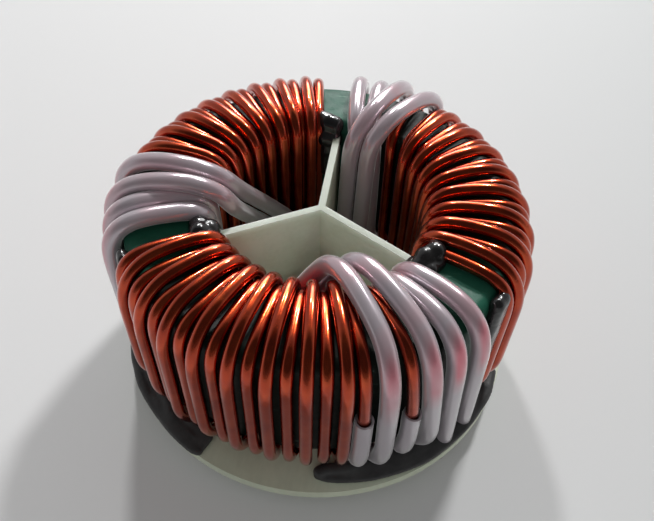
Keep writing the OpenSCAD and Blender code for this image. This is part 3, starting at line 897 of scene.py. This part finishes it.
def run(name, node, angles, seed, r=33.0, size=1.15, steps=18):
    """A row of balls up the wall at each angle, joined into one run."""
    balls = []
    for k, angle in enumerate(angles):
        for step in range(steps):
            wobble = noise(Vector((seed + k*RUN_APART, step*BALLS_APART, 0)))
            balls.append((angle + RUN_SWAY*wobble, r, RUN_FOOT + RUN_STEP*step,
                          size + RUN_SWELL*wobble, RUN_FLATNESS))
    lump(name, node, balls, smooth=30, fineness=2)


run("glue_run_left", "glue_run_1", (209.3, 211.0), seed=1)
run("glue_run_right", "glue_run_2", (330.4, 331.7, 333.0, 334.2), seed=2, r=33.2,
    size=1.35)
run("glue_run_back", "glue_run_3", (92.0, 95.0, 97.0), seed=3, steps=13)

# %% Beads on the base plate
BEAD_STEP, BEAD_SPACING = 1.3, 0.7          # of balls, in degrees round and mm across
BEAD_BALL, BEAD_FLATNESS = 1.0, 0.85
BEAD_SLOPE = 0.45                           # how much lower a bead is at its outer side
BEAD_LIFT, BEAD_SWELL = 0.3, 0.25           # by the noise, in mm
NOISE_ROUND, NOISE_ACROSS = 0.12, 0.9       # steps through the noise


def bead(name, node, sections, seed, top=1.6):
    """sections: (angle, inner radius, outer radius), from one end to the other."""
    angles = [s[0] for s in sections]
    balls = []
    for k in range(int((angles[-1] - angles[0])/BEAD_STEP) + 1):
        angle = angles[0] + BEAD_STEP*k
        inner, outer = (np.interp(angle, angles, [s[i] for s in sections]) for i in (1, 2))
        count = max(2, int((outer - inner)/BEAD_SPACING) + 1)
        for i in range(count):
            r = inner + (outer - inner)*i/(count - 1)
            wobble = noise(Vector((seed, angle*NOISE_ROUND, r*NOISE_ACROSS)))
            lower = 1 - BEAD_SLOPE*(r - inner)/(outer - inner)
            height = PLATE_THICK + (top - BEAD_BALL)*lower
            balls.append((angle, r, height + BEAD_LIFT*wobble,
                          BEAD_BALL + BEAD_SWELL*wobble, BEAD_FLATNESS))
    lump(name, node, balls, voxel=0.25, fineness=2, glue=dull_glue)


bead("glue_bead_left", "glue_bead_1", (
    (172, 34.0, 35.0), (190, 33.4, 35.9), (211, 33.0, 36.0), (242.5, 32.8, 36.0),
    (244.5, 33.4, 35.6)), seed=4, top=2.2)
bead("glue_bead_right", "glue_bead_2", (
    (279, 33.3, 33.5), (281, 32.9, 34.0), (290, 33.0, 34.6), (309, 33.0, 35.5),
    (340, 33.2, 35.5), (347, 33.8, 34.9)), seed=5, top=2.6)
bead("glue_bead_back", "glue_bead_3", (
    (58, 33.8, 34.6), (75, 33.3, 35.3), (108, 33.3, 35.3), (122, 33.8, 34.6)), seed=6)

# %% [markdown]
# ## Floor and light
# The choke stands on a pale sheet. Two soft lamps behind it throw two shadows towards
# the viewer, and the room fills them. Round shiny wire mirrors a room from side to side,
# so for glossy rays alone the room also has a dark part in front, where the viewer
# stands, some haze low down and a small bright window behind.

# %% Floor
FLOOR_HEIGHT, FLOOR_HALF = -PIN_LENGTH*MM, 3.0      # in metres
CORNERS = ((-1, -1), (1, -1), (1, 1), (-1, 1))
floor_mesh = bpy.data.meshes.new("floor")
floor_mesh.from_pydata([(x*FLOOR_HALF, y*FLOOR_HALF, FLOOR_HEIGHT) for x, y in CORNERS],
                       [], [(0, 1, 2, 3)])
floor = bpy.data.objects.new("floor", floor_mesh)
bpy.context.scene.collection.objects.link(floor)
PALE, SHADED_GREY = (0.80, 0.80, 0.80), (0.66, 0.67, 0.67)
paper, tree, shader = finish("pale_paper", Roughness=0.75)
# Painted shade: the sheet is painted greyer towards the right, where less lamp light falls
painted_shade_to_right = levels(tree, axes(tree)["X"], 0, 1, from_low=-20*MM, from_high=90*MM)
tree.links.new(between(tree, painted_shade_to_right, (0, *PALE), (1, *SHADED_GREY)),
               shader.inputs["Base Color"])
floor_mesh.materials.append(paper)
print("floor at", round(FLOOR_HEIGHT/MM, 2), "mm")

# %% Lamps
LAMP_DISTANCE, LAMP_ELEVATION = 1.1, 45             # metres and degrees
AIM = Vector((0, 0, 20*MM))


def lamp(name, around, size, power):
    """A round white lamp in that direction, in degrees, turned to the choke."""
    a, e = math.radians(around), math.radians(LAMP_ELEVATION)
    direction = Vector((math.cos(a)*math.cos(e), math.sin(a)*math.cos(e), math.sin(e)))
    light = bpy.data.lights.new(name, "AREA")
    light.shape, light.size, light.energy = "DISK", size, power
    holder = bpy.data.objects.new(name, light)
    holder.matrix_world = (Matrix.Translation(direction*LAMP_DISTANCE + AIM)
                           @ direction.to_track_quat("Z", "Y").to_matrix().to_4x4())
    bpy.context.scene.collection.objects.link(holder)
    print(name, "at", [round(c, 2) for c in holder.matrix_world.translation], "m")


lamp("lamp_right", around=70, size=0.12, power=6.2)
lamp("lamp_left", around=108, size=0.08, power=3.5)

# %% Room
room = bpy.data.worlds.new("room")
room.use_nodes = True
tree = room.node_tree
direction = add(tree, "ShaderNodeTexCoord").outputs["Generated"]


def towards(x, y, z):
    """From -1 to 1: how much a ray into the room goes that way."""
    way = Vector((x, y, z)).normalized()
    return vector_node(tree, "DOT_PRODUCT", direction, way)["Value"]


VIEWER, WINDOW, UPWARDS = (0.10, -0.76, 0.64), (-0.05, 0.85, 0.53), (0, 0, 1)
fill = levels(tree, towards(*VIEWER), low=0.24, high=0.72, from_low=0.80, from_high=0.95)
dark_front = levels(tree, towards(*VIEWER), low=0.45, high=0.05, from_low=0.15,
                    from_high=0.55)
window = levels(tree, towards(*WINDOW), low=0, high=9.0, from_low=0.96, from_high=0.99)
haze = levels(tree, towards(*UPWARDS), low=0.16, high=0.0, from_low=0.0, from_high=0.34)
mirrored = combine(tree, "ADD", combine(tree, "ADD", dark_front, window), haze)
gloss = add(tree, "ShaderNodeLightPath").outputs["Is Glossy Ray"]
wall = add(tree, "ShaderNodeMix", _0=gloss, _2=fill, _3=mirrored).outputs["Result"]
tree.links.new(wall, tree.nodes["Background"].inputs["Color"])
bpy.context.scene.world = room
bpy.context.scene.view_settings.view_transform = "Standard"
print("lights:", [light.name for light in bpy.data.lights])
